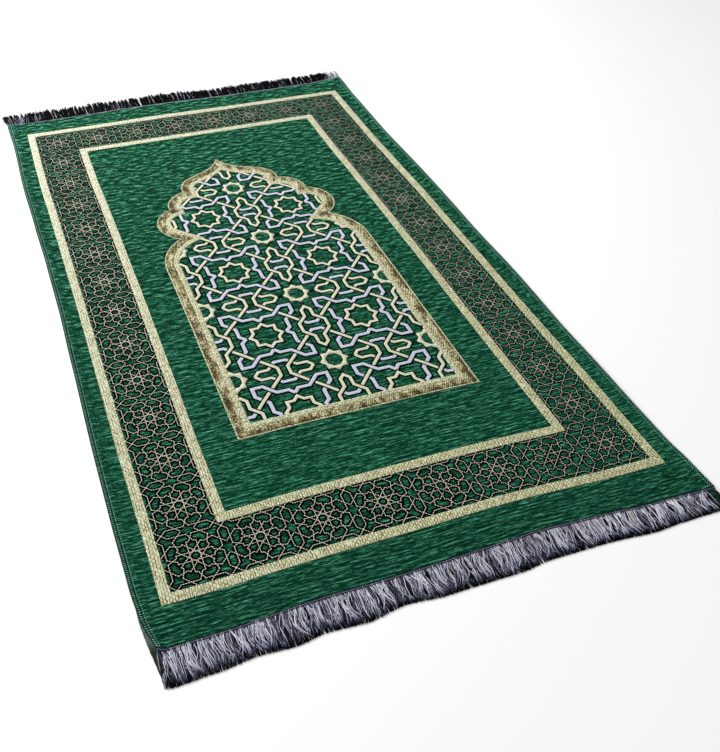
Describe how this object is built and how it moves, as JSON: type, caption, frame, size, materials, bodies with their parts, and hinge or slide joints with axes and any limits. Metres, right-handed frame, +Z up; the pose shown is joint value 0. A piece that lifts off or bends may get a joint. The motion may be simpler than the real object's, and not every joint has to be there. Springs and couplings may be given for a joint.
{
  "type": "prayer rug",
  "caption": "Flat-woven chenille prayer rug with an arched niche of star interlace, a lattice border, cream bands and a fringe at each end, laid flat.",
  "frame": {"origin": "middle of the rug's box, on the floor that it lies on", "axes": "+Y along the rug from its foot to its head, the way the niche points; +X to the right of a person who kneels on it; +Z up"},
  "size_m": [0.677, 1.2265, 0.0066],
  "materials": {
    "rug_chenille": "soft matt green chenille ground with lighter slubs across the rug",
    "cream_yarn": "matt cream yarn with brownish floats",
    "gold_yarn": "mottled gold and brown yarn",
    "lilac_yarn": "matt pale lilac yarn",
    "black_yarn": "matt black yarn",
    "hem_thread": "teal sewing thread of the side hems",
    "fringe_yarn": "fine lilac grey and black warp ends"
  },
  "bodies": {
    "root": {"rug_cloth": "rug_chenille", "fringe_foot": "fringe_yarn", "fringe_head": "fringe_yarn"}
  },
  "joints": []
}
